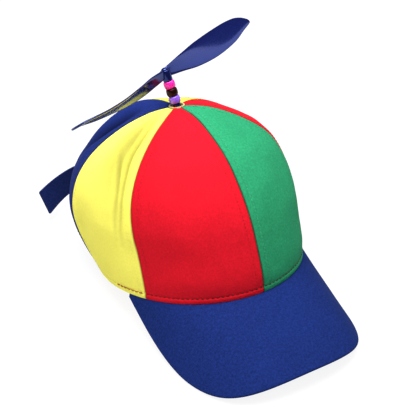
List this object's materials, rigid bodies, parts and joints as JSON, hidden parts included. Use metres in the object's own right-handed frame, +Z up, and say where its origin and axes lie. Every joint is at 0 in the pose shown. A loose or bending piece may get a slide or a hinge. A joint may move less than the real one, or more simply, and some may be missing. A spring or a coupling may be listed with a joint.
{
  "type": "propeller beanie",
  "caption": "Six-panel cloth cap in bright colours with a curved brim, a loose back strap and a propeller that spins on a beaded pin.",
  "frame": {"origin": "middle of the bounding box, on the surface that the cap rests on", "axes": "+Z up, -Y towards the brim, +X towards the viewer's right when the brim faces the viewer"},
  "size_m": [0.201, 0.3108, 0.181],
  "materials": {
    "cloth_red": "cotton twill",
    "cloth_yellow": "cotton twill",
    "cloth_green": "cotton twill",
    "cloth_blue": "cotton twill",
    "brim_blue": "cotton twill over a stiff core",
    "strap_navy": "looped tape",
    "thread": "buttonhole thread",
    "plastic_blue": "glossy",
    "bead_purple": "glossy",
    "bead_brown": "glossy",
    "bead_pink": "glossy"
  },
  "bodies": {
    "cap": {"panel_front_left": "cloth_red", "panel_front_right": "cloth_green", "panel_right": "cloth_red", "panel_back_right": "cloth_yellow", "panel_back_left": "cloth_blue", "panel_left": "cloth_yellow", "brim": "brim_blue", "eyelet": "thread", "strap_long": "strap_navy", "strap_short": "strap_navy", "pin": "plastic_blue"},
    "bead_purple": {"bead_purple": "bead_purple"},
    "bead_brown": {"bead_brown": "bead_brown"},
    "bead_pink": {"bead_pink": "bead_pink"},
    "propeller": {"propeller": "plastic_blue"}
  },
  "joints": [
    {"name": "propeller_spin", "type": "hinge", "parent": "cap", "child": "propeller", "pos_m": [0.00452, 0.04029, 0.14679], "axis": [-0.1536, 0.3848, 0.9101], "continuous": true},
    {"name": "bead_purple_spin", "type": "hinge", "parent": "cap", "child": "bead_purple", "pos_m": [0.00452, 0.04029, 0.14679], "axis": [-0.1536, 0.3848, 0.9101], "continuous": true},
    {"name": "bead_brown_spin", "type": "hinge", "parent": "cap", "child": "bead_brown", "pos_m": [0.00452, 0.04029, 0.14679], "axis": [-0.1536, 0.3848, 0.9101], "continuous": true},
    {"name": "bead_pink_spin", "type": "hinge", "parent": "cap", "child": "bead_pink", "pos_m": [0.00452, 0.04029, 0.14679], "axis": [-0.1536, 0.3848, 0.9101], "continuous": true}
  ]
}
